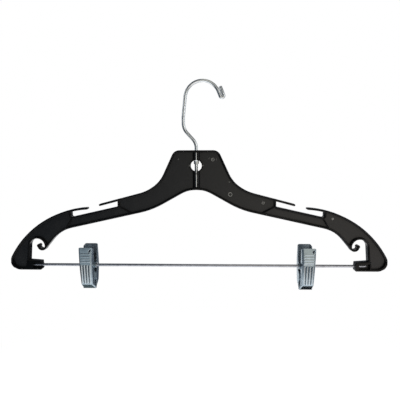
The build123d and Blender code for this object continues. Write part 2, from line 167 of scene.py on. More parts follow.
# A metal: drawn, rolled or plated, told apart by its colours, its roughness and the run of its fine lines
def metal(name, look):
    material, tree, shader = newMaterial(name, {"Metallic": 1.0})
    spot = addNode(tree, "ShaderNodeTexCoord").outputs["Object"]
    cloud = addNode(tree, "ShaderNodeTexNoise", {
        "Vector": spot, "Scale": 1 / (look["cloud"] * mm), "Detail": 5.0, "Roughness": 0.6})
    tones = [(0.3, look["dull"]), (0.5, look["colour"]), (0.75, look["bright"])]
    colour = addNode(tree, "ShaderNodeValToRGB", {"Fac": cloud}, stops=tones).outputs["Color"]
    if "groove" in look:
        # a painted highlight on the crests of the ribs, and painted shade in the grooves
        pressed = addNode(tree, "ShaderNodeAttribute", attribute_name="pressed").outputs["Fac"]
        for kind in ("crest", "groove"):
            share = addNode(tree, "ShaderNodeMapRange", (pressed, *look[kind + "From"]))
            colour = addNode(tree, "ShaderNodeMix", {
                0: share, 6: colour, 7: linear(look[kind])}, data_type="RGBA").outputs[2]
    tree.links.new(colour, shader.inputs["Base Color"])
    lines = addNode(tree, "ShaderNodeMapping", {"Vector": spot, "Scale": look["lineStretch"]})
    drawn = addNode(tree, "ShaderNodeTexNoise", {
        "Vector": lines, "Scale": 1 / (look["line"] * mm), "Detail": 4.0, "Roughness": 0.65})
    gloss = addNode(tree, "ShaderNodeMapRange", (drawn, *noiseSpread, *look["roughness"]))
    tree.links.new(gloss.outputs[0], shader.inputs["Roughness"])
    bump = addNode(tree, "ShaderNodeBump", {"Height": drawn, "Strength": look["bump"], "Distance": 0.02 * mm})
    tree.links.new(bump.outputs[0], shader.inputs["Normal"])
    return material


# Chrome-plated steel wire: nearly a mirror, with faint drawing lines under the plating
chromeLook = {"colour": "#dde1e3", "bright": "#e6e9ea", "dull": "#d0d4d7", "roughness": (0.22, 0.3),
              "cloud": 6.0, "line": 0.5, "lineStretch": (1.0, 1.0, 0.12), "bump": 0.01}
# Zinc-plated drawn rod: softer shine, with streaks along its length
rodLook = {"colour": "#aeb0b8", "bright": "#babcc3", "dull": "#a0a2aa", "roughness": (0.26, 0.36),
           "cloud": 5.0, "line": 0.5, "lineStretch": (0.05, 1.0, 1.0), "bump": 0.01}
# The inside of the rolled sheet, never polished: dull and matt, with fine rolling lines up the jaw
insideLook = {"colour": "#8d9aa4", "bright": "#98a5ae", "dull": "#808d97", "roughness": (0.5, 0.6),
              "cloud": 4.0, "line": 0.35, "lineStretch": (1.0, 1.0, 0.1), "bump": 0.02}
# Its nickel-plated outside: cool grey and cloudy, with crests painted lighter as a painted highlight and
# grooves painted dark as painted shade. The tones of crests and grooves start and are full at two heights
# each, given as shares of a groove's depth.
sheetLook = dict(insideLook, colour="#a3b1ba", bright="#b0bdc5", dull="#95a3ad", roughness=(0.22, 0.32),
                 crest="#c6ced1", crestFrom=(0.15, 0.85), groove="#343a42", grooveFrom=(-0.2, -0.9))
# Nickel-plated eyelet: brighter and smoother than the sheet, turned rather than rolled
rivetLook = {"colour": "#b4b8ba", "bright": "#c2c6c7", "dull": "#a3a8aa", "roughness": (0.18, 0.3),
             "cloud": 2.0, "line": 0.3, "lineStretch": (4.0, 0.6, 0.6), "bump": 0.2}
# Oil-tempered spring wire: dark grey, satin, with a little brown where the oil has dried
springLook = {"colour": "#5d5f62", "bright": "#7b7c7d", "dull": "#4b443d", "roughness": (0.3, 0.45),
              "cloud": 1.5, "line": 0.25, "lineStretch": (1.0, 1.0, 1.0), "bump": 0.25}

webPlastic = mouldedPolystyrene("mouldedPolystyreneWeb", webLook)
rimPaintedShadePlastic = mouldedPolystyrene("mouldedPolystyreneRimPaintedShade", rimPaintedShadeLook)
paleMarkPlastic = mouldedPolystyrene("paleMarksAndPaintedGlintsPolystyrene", paleMarkLook)
chrome = metal("chromePlatedWire", chromeLook)
rod = metal("zincPlatedRod", rodLook)
sheetMetal = metal("nickelPlatedSheet", sheetLook)
sheetInside = metal("unpolishedSheetInside", insideLook)
rivetMetal = metal("nickelPlatedEyelet", rivetLook)
springMetal = metal("oilTemperedSpringWire", springLook)
print("materials made")


# Meshes and node trees
def newObject(name, data):
    piece = bpy.data.objects.new(name, data)
    bpy.context.scene.collection.objects.link(piece)
    return piece


def newTree(name, inputs):
    tree = bpy.data.node_groups.new(name, "GeometryNodeTree")
    tree.interface.new_socket("Geometry", in_out="INPUT", socket_type="NodeSocketGeometry")
    for label, (kind, value) in inputs.items():
        socket = tree.interface.new_socket(label, in_out="INPUT", socket_type="NodeSocket" + kind)
        socket.default_value = value
    tree.interface.new_socket("Geometry", in_out="OUTPUT", socket_type="NodeSocketGeometry")
    return tree, addNode(tree, "NodeGroupInput").outputs


# Closes a tree: smooth shading, realised instances, one material, the group's output
def endTree(tree, geometry, material):
    smooth = addNode(tree, "GeometryNodeSetShadeSmooth", {"Geometry": geometry})
    real = addNode(tree, "GeometryNodeRealizeInstances", {"Geometry": smooth})
    shaded = addNode(tree, "GeometryNodeSetMaterial", {"Geometry": real, "Material": material})
    addNode(tree, "NodeGroupOutput", {"Geometry": shaded})


def evaluatedMesh(piece):
    evaluated = piece.evaluated_get(bpy.context.evaluated_depsgraph_get())
    return bpy.data.meshes.new_from_object(evaluated)


# Runs a tree on a mesh and gives the result back as a plain mesh object
def bakeTree(name, mesh, tree, values):
    source = newObject(name + "Source", mesh)
    modifier = source.modifiers.new("nodes", "NODES")
    modifier.node_group = tree
    for item in tree.interface.items_tree:
        if item.in_out == "INPUT" and item.name in values:
            modifier[item.identifier] = values[item.name]
    piece = newObject(name, evaluatedMesh(source))
    bpy.data.objects.remove(source)
    return piece


# Points joined one after the other, as the line that a tree sweeps a section along
def routeMesh(name, points):
    mesh = bpy.data.meshes.new(name)
    mesh.from_pydata([tuple(point) for point in points], [(i, i + 1) for i in range(len(points) - 1)], [])
    return mesh


# A copy of a CAD node's mesh, with its loose triangles joined and flat faces made whole
def mergedCopy(node, name, flatten=True):
    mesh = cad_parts[node].data.copy()
    mesh.name = name
    edit = bmesh.new()
    edit.from_mesh(mesh)
    bmesh.ops.remove_doubles(edit, verts=edit.verts, dist=0.002 * mm)
    if flatten:
        bmesh.ops.dissolve_limit(edit, angle_limit=math.radians(0.6), verts=edit.verts, edges=edit.edges)
    edit.to_mesh(mesh)
    edit.free()
    mesh.materials.clear()
    return newObject(name, mesh)


# Small rounds on sharp edges, and smooth shading between them
def easeEdges(piece, width, segments, material, angle=35):
    bevel = piece.modifiers.new("easedEdges", "BEVEL")
    bevel.width = width * mm
    bevel.segments = segments
    bevel.limit_method = "ANGLE"
    bevel.angle_limit = math.radians(angle)
    mesh = evaluatedMesh(piece)
    piece.modifiers.clear()
    piece.data = mesh
    mesh.shade_smooth()
    mesh.set_sharp_from_angle(angle=math.radians(38))
    mesh.materials.clear()
    mesh.materials.append(material)
    return piece


# Straight runs with rounded corners, as points close enough together to look round
def roundedRoute(corners, radii, step):
    points = [corners[0]]
    for before, corner, after, radius in zip(corners, corners[1:], corners[2:], radii):
        way = (corner - before).normalized()
        onward = (after - corner).normalized()
        turn = way.angle(onward)
        reach = radius * math.tan(turn / 2)
        inward = (onward - way).normalized()
        center = corner + inward * radius / math.cos(turn / 2)
        start = corner - way * reach
        spin = way.cross(onward).normalized()
        count = max(2, math.ceil(radius * turn / step))
        for index in range(count + 1):
            points.append(center + Matrix.Rotation(turn * index / count, 3, spin) @ (start - center))
    points.append(corners[-1])
    return points


def wireTree(material):
    tree, given = newTree("wireAlongRoute", {"Wire Radius": ("Float", 1.0 * mm), "Sides": ("Int", 24)})
    curve = addNode(tree, "GeometryNodeMeshToCurve", {"Mesh": given["Geometry"]})
    section = addNode(tree, "GeometryNodeCurvePrimitiveCircle", {
        "Resolution": given["Sides"], "Radius": given["Wire Radius"]})
    eased = addNode(tree, "GeometryNodeInputNamedAttribute", {"Name": "ease"})
    swept = addNode(tree, "GeometryNodeCurveToMesh", {
        "Curve": curve, "Profile Curve": section, "Scale": eased.outputs["Attribute"],
        "Fill Caps": True})
    endTree(tree, swept, material)
    return tree


# How a wire's ends are eased: how far in, in radii of the wire, and how much of its width is there
tipEase = [(0.0, 0.7), (0.12, 0.9), (0.3, 1.0)]


# A wire along a route, its two ends eased by a small round
def wire(name, points, radius, sides, material):
    ends = []
    for tip, inner in ((points[0], points[1]), (points[-1], points[-2])):
        way = (inner - tip).normalized()
        ends.append([tip + way * radius * reach for reach, width in tipEase])
    mesh = routeMesh(name + "Route", ends[0] + points[1:-1] + ends[1][::-1])
    widths = [width for reach, width in tipEase]
    shares = widths + [1.0] * (len(points) - 2) + widths[::-1]
    mesh.attributes.new("ease", "FLOAT", "POINT").data.foreach_set("value", shares)
    piece = bakeTree(name, mesh, wireTree(material), {"Wire Radius": radius, "Sides": sides})
    piece.data.set_sharp_from_angle(angle=math.radians(60))
    return piece


# The moulded frame, in mm
frameLook = {
    "rimRound": 1.15,        # mm, the round that makes the rims look like a bead
    "fineRound": 0.12,       # and the one round the wire's slots and the bar's windows
    "roundSteps": 4,
    "faceDepth": 3.75,       # how far the rims' faces lie from the middle
    "webDepth": 1.3,         # and the webs' faces no farther than this
    "slotHalfWidth": 4.6,
    "windowStart": 178.0,
    "windowHalfHeight": 3.6,
    "rimShare": 0.46,        # the most of a rim's width that its round may take
    "pushLimit": 1.6,        # the most that a sharp corner is moved, against the round at a straight edge
    "probe": (0.05, 0.3),    # where a rim's width is measured: this far in, and this far below its face
    "flat": 0.99,            # a face whose normal has this much depth lies flat
    "slack": 0.02,
    "crease": 18.0,          # degrees, the bluntest edge that stays sharp
    "markRadius": 2.0,
    "markLip": 0.32,
    "markFace": 1.2,         # how far in front of the middle the web's face lies
    # across, up and size: pins over the arms, and small ones near the top
    "marks": [(18.5, 121.4, 0.8), (38.0, 82.5, 1.0), (75.0, 72.9, 0.75), (153.0, 55.1, 0.6),
              (-19.8, 121.9, 0.3), (37.0, 96.4, 0.3), (22.4, 121.6, 0.25), (14.6, 122.6, 0.25)],
    "collarPaintedGlints": [(-7.6, 115.0, 0.3), (7.5, 115.0, 0.3)],   # and two painted glints on the collar round the hole, drawn as small pale rings
    "paintedGlintDots": [(153.0, 55.1, 1.0), (18.5, 121.4, 0.6), (75.0, 72.9, 0.7)],   # pale filled dots inside the rings, painted glints
    "dotRadius": 0.45,
    "dotLip": 0.4,
}


# Ejector-pin marks: a raised burr in a ring round a flat floor, where the pins pushed the moulding out
def ejectorTree(material):
    tree, given = newTree("ejectorMarks", {"Mark Radius": ("Float", 1.7 * mm), "Lip": ("Float", 0.2 * mm)})
    circle = addNode(tree, "GeometryNodeCurvePrimitiveCircle", {
        "Resolution": 40, "Radius": given["Mark Radius"]})
    lip = addNode(tree, "GeometryNodeCurvePrimitiveCircle", {"Resolution": 10, "Radius": given["Lip"]})
    ring = addNode(tree, "GeometryNodeCurveToMesh", {"Curve": circle, "Profile Curve": lip})
    size = addNode(tree, "GeometryNodeInputNamedAttribute", {"Name": "size"})
    marks = addNode(tree, "GeometryNodeInstanceOnPoints", {
        "Points": given["Geometry"], "Instance": ring, "Rotation": (math.pi / 2, 0.0, 0.0),
        "Scale": size.outputs["Attribute"]})
    endTree(tree, marks, material)
    return tree


# How much of a rim's edge is rounded away at a corner: up to half of the rim, little at slots and windows
def roundAt(spot, inward, solid, look):
    across = abs(spot.x / mm - swivelAxis)
    nearBar = abs(spot.z / mm - barLevel) < look["windowHalfHeight"] and across > look["windowStart"]
    if across < look["slotHalfWidth"] or nearBar:
        return look["fineRound"] * mm
    inset, below = look["probe"]
    start = spot + inward.normalized() * inset * mm - Vector((0, math.copysign(below * mm, spot.y), 0))
    width = solid.ray_cast(start, inward)[3] or 1.0
    return min(look["rimRound"] * mm, look["rimShare"] * width)


# Rounds the edges of the rims' faces: each face shrinks inwards, and strips run from it down to the walls
def roundRims(piece, look):
    edit = bmesh.new()
    edit.from_mesh(piece.data)
    depth = look["faceDepth"] * mm
    tops = [face for face in edit.faces if abs(face.normal.y) > look["flat"]
            and abs(abs(face.calc_center_median().y) - depth) < look["slack"] * mm]
    isTop = set(tops)
    solid = BVHTree.FromBMesh(edit)
    inward, borders = {}, []
    for face in tops:
        for loop in face.loops:
            if any(other in isTop for other in loop.edge.link_faces if other is not face):
                continue
            start, end = loop.vert, loop.link_loop_next.vert
            borders.append((start, end))
            side = face.normal.cross(end.co - start.co).normalized()
            for corner in (start, end):
                inward.setdefault(corner, []).append(side)
    rings, steps = {}, look["roundSteps"]
    for corner, sides in inward.items():
        push = sum(sides, Vector()) / (1 + min(1.0, sides[0].dot(sides[-1]))) if len(sides) == 2 else sides[0]
        push = push.normalized() * min(push.length, look["pushLimit"])
        size = roundAt(corner.co, push, solid, look)
        up = math.copysign(1.0, corner.co.y)
        base = Vector((corner.co.x, up * (depth - size), corner.co.z))
        ring = [corner]
        for step in range(1, steps + 1):
            turn = math.pi / 2 * step / steps
            ring.append(edit.verts.new(base + push * size * (1 - math.cos(turn))
                                       + Vector((0, up * size * math.sin(turn), 0))))
        corner.co = base
        rings[corner] = ring
    strips = []
    for start, end in borders:
        for step in range(steps):
            strips.append(edit.faces.new((rings[end][step + 1], rings[start][step + 1], rings[start][step],
                                          rings[end][step])))
    for face in tops:
        edit.faces.new([rings[corner][-1] if corner in rings else corner for corner in face.verts])
    bmesh.ops.delete(edit, geom=tops, context="FACES_ONLY")
    edit.normal_update()
    smooth = set(strips)
    for edge in edit.edges:
        kinds = [face in smooth for face in edge.link_faces]
        edge.smooth = len(kinds) == 2 and kinds[0] == kinds[1] and (
            kinds[0] or edge.calc_face_angle(0) < math.radians(look["crease"]))
    # the webs' flat faces take the web's plastic; all else takes the rims' plastic, painted darker as painted
    # shade
    for face in edit.faces:
        face.smooth = True
        low = max(abs(corner.co.y) for corner in face.verts) < look["webDepth"] * mm
        face.material_index = 0 if low and abs(face.normal.y) > look["flat"] else 1
    edit.to_mesh(piece.data)
    edit.free()
    piece.data.materials.append(webPlastic)
    piece.data.materials.append(rimPaintedShadePlastic)
    return piece


def buildFrame(look):
    body = roundRims(mergedCopy("frame", "hangerMoulding", flatten=False), look)
    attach(body, "hanger")
    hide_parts("frame")
    web, collar = -look["markFace"], -look["faceDepth"]
    # the collar's marks and the dots are pale marks that stand as painted glints
    rings = [(x, web, z, size) for x, z, size in look["marks"]]
    rings += [(x, collar, z, size) for x, z, size in look["collarPaintedGlints"]]
    paintedGlintDots = [(x, web, z, size) for x, z, size in look["paintedGlintDots"]]
    for name, marks, radius, lip in (("ejectorRings", rings, look["markRadius"], look["markLip"]),
                                     ("ejectorPaintedGlintDots", paintedGlintDots, look["dotRadius"], look["dotLip"])):
        mesh = bpy.data.meshes.new(name + "Points")
        mesh.from_pydata([tuple(place(*mark[:3])) for mark in marks], [], [])
        mesh.attributes.new("size", "FLOAT", "POINT").data.foreach_set("value", [mark[3] for mark in marks])
        piece = bakeTree(name, mesh, ejectorTree(paleMarkPlastic), {"Mark Radius": radius * mm, "Lip": lip * mm})
        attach(piece, "hanger")


buildFrame(frameLook)
print("frame dressed")


# The hook, in mm and degrees: heights are above the bar's axis, offsets from the hook's own
hookLook = {
    "wire": 3.6,
    "start": 90.0,
    "shankTop": 139.7,
    "legOffset": 14.15,
    "legBottom": 155.1,
    "legLean": 6.0,
    "shankBend": 14.0,
    "legBend": 16.0,
    "crownRadius": 18.9,
    "crownOffset": 6.9,
    "crownHeight": 187.7,
    "crownEnd": 22.0,
    "tipStraight": 5.5,
    "foldRadius": 1.9,
    "foldLength": 10.0,
    "foldSteps": 16,
    "earWidth": 5.6,
    "earThickness": 2.0,
    "earHeight": 3.0,
    "earTop": 119.88,
    "earFade": 0.7,
    "step": 0.5,
    "shankSteps": 90,
    "sides": 32,
}


def hookRoute(look):
    lean = math.radians(look["legLean"])
    crown = Vector((look["crownOffset"], look["crownHeight"]))
    radius, leg = look["crownRadius"], -look["legOffset"]
    crownStart = crown + Vector((-math.cos(lean), math.sin(lean))) * radius
    leanStart = crownStart.y - (crownStart.x - leg) / math.tan(lean)
    flat = [(0, look["start"]), (0, look["shankTop"]), (leg, look["legBottom"]), (leg, leanStart),
            tuple(crownStart)]
    radii = [look["shankBend"] * mm, look["legBend"] * mm, look["legBend"] * mm]
    points = roundedRoute([place(x, 0, z) for x, z in flat], radii, look["step"] * mm)

    end = math.radians(look["crownEnd"])
    start = math.pi - lean
    count = math.ceil(radius * (start - end) / look["step"])
    for index in range(1, count + 1):
        turn = start + (end - start) * index / count
        points.append(place(crown.x + radius * math.cos(turn), 0, crown.y + radius * math.sin(turn)))
    along = Vector((math.sin(end), 0, -math.cos(end)))
    outward = Vector((math.cos(end), 0, math.sin(end)))
    tip = points[-1] + along * look["tipStraight"] * mm
    fold = look["foldRadius"] * mm
    for index in range(look["foldSteps"] + 1):
        turn = math.pi * index / look["foldSteps"]
        points.append(tip + outward * fold * (1 - math.cos(turn)) + along * fold * math.sin(turn))
    points.append(points[-1] - along * look["foldLength"] * mm)
    return points


# The wire is pressed flat into two ears where it hangs in the round hole
def coinEars(piece, look):
    low = (look["earTop"] - look["earHeight"] + barLevel) * mm
    high = (look["earTop"] + barLevel) * mm
    axis = swivelAxis * mm
    for vertex in piece.data.vertices:
        off = max(low - vertex.co.z, vertex.co.z - high, 0.0)
        share = max(0.0, 1.0 - off / (look["earFade"] * mm))
        if share > 0 and abs(vertex.co.x - axis) < look["wire"] * mm:
            share = share * share * (3 - 2 * share)
            vertex.co.x = axis + (vertex.co.x - axis) * (1 + share * (look["earWidth"] / look["wire"] - 1))
            vertex.co.y *= 1 + share * (look["earThickness"] / look["wire"] - 1)


def buildHook(look):
    route = hookRoute(look)
    count = look["shankSteps"]
    shank = [route[0] + (route[1] - route[0]) * index / count for index in range(count)]
    hook = wire("swivelHookWire", shank + route[1:], look["wire"] / 2 * mm, look["sides"], chrome)
    coinEars(hook, look)
    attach(hook, "hook")
    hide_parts("swivel_hook")


buildHook(hookLook)
print("hook dressed")


# The bar, in mm
barLook = {"radius": 1.6, "halfLength": 193.0, "sides": 40, "steps": 200}


def buildBar(look):
    start, end = place(-look["halfLength"], 0, 0), place(look["halfLength"], 0, 0)
    points = [start + (end - start) * index / look["steps"] for index in range(look["steps"] + 1)]
    bar = wire("clipBarRod", points, look["radius"] * mm, look["sides"], rod)
    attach(bar, "hanger")
    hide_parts("clip_bar")


buildBar(barLook)
print("bar dressed")


# The clips, in mm and degrees, seen from where the bar runs through them
clipLook = {
    "sheet": 0.9,
    "bend": 1.9,                 # round of the folds between a jaw's face and its cheeks
    "rimEdge": 0.14,
    "faceTop": (10.4, 23.0),     # how far in front of the bar the face's middle lies, and how high
    "faceBar": (11.5, 0.0),
    "faceLow": (9.7, -20.0),
    "lipEnd": (0.6, -27.6),
    "lipBend": 1.4,
    "levels": (23.0, 0.0, -20.0, -27.6),
    "frontWidths": (7.95, 7.2, 6.65, 7.5),
    "rearWidths": (8.1, 8.35, 7.8, 7.5),
    # the cheeks' rims from the side: how high, and how far in front of the bar
    "rim": [(23.0, 10.0), (21.0, 6.8), (7.0, 4.4), (2.3, 2.3), (-2.3, 2.3), (-4.8, 4.4), (-9.0, -0.8),
            (-15.5, -0.8), (-20.0, 1.0), (-27.6, 1.0)],
    "earRadius": 3.5,
    "cornerRound": 2.2,
    "rowStep": 0.3,
    "lipStep": 0.25,
    "arcSteps": 60,              # along the face's circle, of which so many are kept above the lip's bend
    "arcKept": 50,
    "faceSteps": 84,
    "bendSteps": 7,
    "cheekSteps": 6,
    "cornerTurns": (22.5, 45.0, 67.5),   # degrees, the cuts that round a corner
    "earNudge": 0.02,            # two rows so close together end the ears cleanly
    "joinReach": (0.03, 0.07),   # points nearer than this are one, before and after the corners are cut
    "cutSlack": 0.01,
    "crease": 65.0,              # degrees, the bluntest edge of the sheet that is eased
    "ribs": {
        "Flute Pitch": 3.2, "Flute Height": 0.38, "Flute Half Width": 1.15, "Groove Depth": 0.42,
        "Flute Top": 3.6, "Flute Low": -19.3, "Flute Taper": 0.08, "Flute Reach": 6.1,
        "Grip Pitch": 3.0, "Grip Height": 0.24, "Grip Half Width": 0.85, "Grip Top": 15.8, "Grip Reach": 5.6,
        "Grip Count": 4.0,
        "Dimple Across": 4.9, "Dimple Up": 19.4, "Dimple Length": 2.6, "Dimple Width": 1.3,
        "Dimple Depth": 0.7, "Dimple Lean": 0.45,
        "Crest Flat": 0.1, "Groove Share": 0.48, "Flute Fade": 0.5, "Grip Fade": 0.7,
    },
    "rivetEdge": 0.12,
    "springWire": 1.0,
    "springRadius": 3.15,
    "springPitch": 1.5,
    "springTurns": 4,
    "springLeg": 15.0,
    "springLegAngle": 28.5,
    "springSides": 14,
    "springStep": 10,            # degrees between two points of the coil
}


# The two legs behind the handles, and the coil round the rivet between them
def springRoute(look, across):
    lean = look["springLegAngle"]
    total = 360 * look["springTurns"] + 180 - 2 * lean
    count = int(total / look["springStep"])

    def spot(turned):
        angle = math.radians(180 + lean + turned)
        along = (turned - total / 2) / 360 * look["springPitch"]
        radius = look["springRadius"]
        return place(across + along, radius * math.cos(angle), radius * math.sin(angle))

    coil = [spot(total * index / count) for index in range(count + 1)]
    ways = ((spot(0) - spot(0.1)).normalized(), (spot(total) - spot(total - 0.1)).normalized())
    leg = look["springLeg"] * mm
    return [coil[0] + ways[0] * leg] + coil + [coil[-1] + ways[1] * leg]


# The circle that a jaw's bowed face follows, seen from the side: centre and radius in mm
def faceCircle(look):
    spots = (look["faceTop"], look["faceBar"], look["faceLow"])
    (x1, y1), (x2, y2), (x3, y3) = [(-reach, up) for reach, up in spots]
    d = 2 * (x1 * (y2 - y3) + x2 * (y3 - y1) + x3 * (y1 - y2))
    a, b, c = x1 * x1 + y1 * y1, x2 * x2 + y2 * y2, x3 * x3 + y3 * y3
    x = (a * (y2 - y3) + b * (y3 - y1) + c * (y1 - y2)) / d
    y = (a * (x3 - x2) + b * (x1 - x3) + c * (x2 - x1)) / d
    return x, y, math.hypot(x1 - x, y1 - y)


# The outside of a jaw from the side, from the top of its face down to the end of its lip, in even steps
def jawLine(look):
    x, y, radius = faceCircle(look)
    outer = radius + look["sheet"] / 2
    high, low = [math.asin((up - y) / radius) for up in (look["faceTop"][1], look["faceLow"][1])]
    steps = look["arcSteps"]
    turns = [high + (low - high) * step / steps for step in range(steps + 1)]
    arc = [Vector((0, x - outer * math.cos(turn), y + outer * math.sin(turn))) for turn in turns]
    foot, end = [Vector((0, -reach, up)) for reach, up in (look["faceLow"], look["lipEnd"])]
    lipWay = (end - foot).normalized()
    aside = Vector((0, lipWay.z, -lipWay.y)) * look["sheet"] / 2
    corner = intersect_line_line(arc[-2], arc[-1], foot + aside, end + aside)[0]
    kept = look["arcKept"]
    lip = roundedRoute([arc[kept], corner, end + aside], [look["lipBend"]], look["lipStep"])
    line = arc[:kept] + lip[1:]
    rows, spare = [line[0]], 0.0
    for start, stop in zip(line, line[1:]):
        run = (stop - start).length
        while spare + look["rowStep"] <= run:
            spare += look["rowStep"]
            rows.append(start.lerp(stop, spare / run))
        spare -= run
    rows.append(line[-1])
    nudges = (-look["earNudge"], look["earNudge"])
    edges = [side * look["earRadius"] + nudge for side in (-1, 1) for nudge in nudges]
    for up in edges:
        after = next(index for index, row in enumerate(rows) if row.z < up)
        first, second = rows[after - 1], rows[after]
        rows.insert(after, first.lerp(second, (first.z - up) / (first.z - second.z)))
    return rows


# The value at a height, from a list of heights that goes down and the values there
def between(levels, values, up):
    for (high, first), (low, second) in zip(zip(levels, values), zip(levels[1:], values[1:])):
        if up >= low:
            return first + (second - first) * min(1.0, (high - up) / (high - low))
    return values[-1]


# One row of a jaw, from the rim of one cheek round the two folds to the rim of the other: across and depth
def jawRow(look, widths, row):
    half = between(look["levels"], widths, row.z)
    rim = -between(*zip(*look["rim"]), row.z)
    if abs(row.z) < look["earRadius"]:
        rim = max(rim, math.sqrt(look["earRadius"] ** 2 - row.z ** 2))
    rim = max(rim, row.y)
    bend = min(look["bend"], rim - row.y)
    steps = look["cheekSteps"]
    side = [(half, rim + (row.y + bend - rim) * step / steps) for step in range(steps)]
    for step in range(look["bendSteps"]):
        turn = math.pi / 2 * step / look["bendSteps"]
        side.append((half - bend * (1 - math.cos(turn)), row.y + bend * (1 - math.sin(turn))))
    flat = half - bend
    count = look["faceSteps"]
    face = [(-flat + 2 * flat * step / count, row.y) for step in range(count + 1)]
    return [(-across, depth) for across, depth in side] + face + side[::-1]


# A jaw's outer skin as a grid, with its top corners rounded and the places on it kept for the ribs
def jawSkin(name, look, widths, across, facing):
    edit = bmesh.new()
    layers = [edit.verts.layers.float.new(label) for label in ("across", "along")]
    grid = []
    for row in jawLine(look):
        line = []
        for off, depth in jawRow(look, widths, row):
            vertex = edit.verts.new(place(across + off, facing * depth, row.z))
            vertex[layers[0]], vertex[layers[1]] = off * facing, row.z
            line.append(vertex)
        grid.append(line)
    for upper, lower in zip(grid, grid[1:]):
        for index in range(len(upper) - 1):
            corners = (upper[index], lower[index], lower[index + 1], upper[index + 1])
            edit.faces.new(corners if facing > 0 else corners[::-1])
    before, after = look["joinReach"]
    bmesh.ops.remove_doubles(edit, verts=edit.verts, dist=before * mm)
    corner = look["cornerRound"]
    for side in (-1, 1):
        middle = place(across + side * (widths[0] - corner), 0, look["faceTop"][1] - corner)
        for turn in look["cornerTurns"]:
            way = Vector((side * math.sin(math.radians(turn)), 0, math.cos(math.radians(turn))))
            geometry = edit.verts[:] + edit.edges[:] + edit.faces[:]
            bmesh.ops.bisect_plane(edit, geom=geometry, plane_co=middle + way * corner * mm, plane_no=way,
                                   clear_outer=True, dist=look["cutSlack"] * mm)
    bmesh.ops.remove_doubles(edit, verts=edit.verts, dist=after * mm)   # slivers left by the cuts
    mesh = bpy.data.meshes.new(name + "Skin")
    edit.to_mesh(mesh)
    edit.free()
    return mesh


# The maths of the pressed ribs, a step a line: its name, what it does, and its terms. A term is an earlier
# step, a size of the tree, a place kept on the skin or a number. A fade runs from 0 to 1 between two values.
pressSteps = [
    # the flutes: how far down a place is, where it lies across a flute, and how high the sheet is there
    ("drop", "SUBTRACT", "Flute Top", "along"),
    ("run", "SUBTRACT", "Flute Top", "Flute Low"),
    ("low", "DIVIDE", "drop", "run"),
    ("narrowing", "MULTIPLY", "low", "Flute Taper"),
    ("spread", "SUBTRACT", 1.0, "narrowing"),
    ("straight", "DIVIDE", "across", "spread"),
    ("pitches", "DIVIDE", "straight", "Flute Pitch"),
    ("part", "FRACT", "pitches"),
    ("middle", "SUBTRACT", "part", 0.5),
    ("cell", "ABSOLUTE", "middle"),
    ("off", "MULTIPLY", "cell", "Flute Pitch"),
    ("crest", "FADE", "off", "Flute Half Width", "Crest Flat"),
    ("raised", "MULTIPLY", "crest", "Flute Height"),
    ("bottom", "MULTIPLY", "Flute Pitch", "Groove Share"),
    ("groove", "FADE", "off", "Flute Half Width", "bottom"),
    ("sunk", "MULTIPLY", "groove", "Groove Depth"),
    ("flute", "SUBTRACT", "raised", "sunk"),
    # and they end at their reach to the sides, and at their top and foot
    ("aside", "ABSOLUTE", "straight"),
    ("fluteEdge", "SUBTRACT", "Flute Reach", "Flute Fade"),
    ("inReach", "FADE", "aside", "Flute Reach", "fluteEdge"),
    ("underTop", "FADE", "low", -0.02, 0.05),
    ("overFoot", "FADE", "low", 1.0, 0.93),
    ("inRun", "MULTIPLY", "underTop", "overFoot"),
    ("inFlutes", "MULTIPLY", "inReach", "inRun"),
    ("fluted", "MULTIPLY", "flute", "inFlutes"),
    # the grip ribs across the handle, counted from the top
    ("gripDrop", "SUBTRACT", "Grip Top", "along"),
    ("grip", "DIVIDE", "gripDrop", "Grip Pitch"),
    ("gripShifted", "ADD", "grip", 0.5),
    ("gripPart", "FRACT", "gripShifted"),
    ("gripMiddle", "SUBTRACT", "gripPart", 0.5),
    ("gripCell", "ABSOLUTE", "gripMiddle"),
    ("near", "MULTIPLY", "gripCell", "Grip Pitch"),
    ("sideways", "ABSOLUTE", "across"),
    ("gripEdge", "SUBTRACT", "Grip Reach", "Grip Fade"),
    ("inGripReach", "FADE", "sideways", "Grip Reach", "gripEdge"),
    ("pastFirst", "GREATER_THAN", "grip", -0.5),
    ("lastGrip", "SUBTRACT", "Grip Count", 0.5),
    ("beforeLast", "LESS_THAN", "grip", "lastGrip"),
    ("inRows", "MULTIPLY", "pastFirst", "beforeLast"),
    ("inGrips", "MULTIPLY", "inGripReach", "inRows"),
    ("gripCrest", "FADE", "near", "Grip Half Width", "Crest Flat"),
    ("gripRib", "MULTIPLY", "gripCrest", "inGrips"),
    ("gripped", "MULTIPLY", "gripRib", "Grip Height"),
    # the slanted dimple in the handle's corner
    ("beside", "SUBTRACT", "across", "Dimple Across"),
    ("up", "SUBTRACT", "along", "Dimple Up"),
    ("lean", "MULTIPLY", "up", "Dimple Lean"),
    ("leaned", "SUBTRACT", "beside", "lean"),
    ("leanedSize", "ABSOLUTE", "leaned"),
    ("wide", "DIVIDE", "leanedSize", "Dimple Width"),
    ("wideSquared", "POWER", "wide", 2.0),
    ("upSize", "ABSOLUTE", "up"),
    ("long", "DIVIDE", "upSize", "Dimple Length"),
    ("longSquared", "POWER", "long", 2.0),
    ("squares", "ADD", "wideSquared", "longSquared"),
    ("outFrom", "SQRT", "squares"),
    ("hollow", "FADE", "outFrom", 1.0, 0.25),
    ("dimple", "MULTIPLY", "hollow", "Dimple Depth"),
    # all of them, as a push along the normal and as the mark by which crests get a painted highlight and
    # grooves painted shade
    ("ribs", "ADD", "fluted", "gripped"),
    ("height", "SUBTRACT", "ribs", "dimple"),
    ("push", "MULTIPLY", "height", mm),
    ("pressed", "DIVIDE", "height", "Groove Depth"),
]


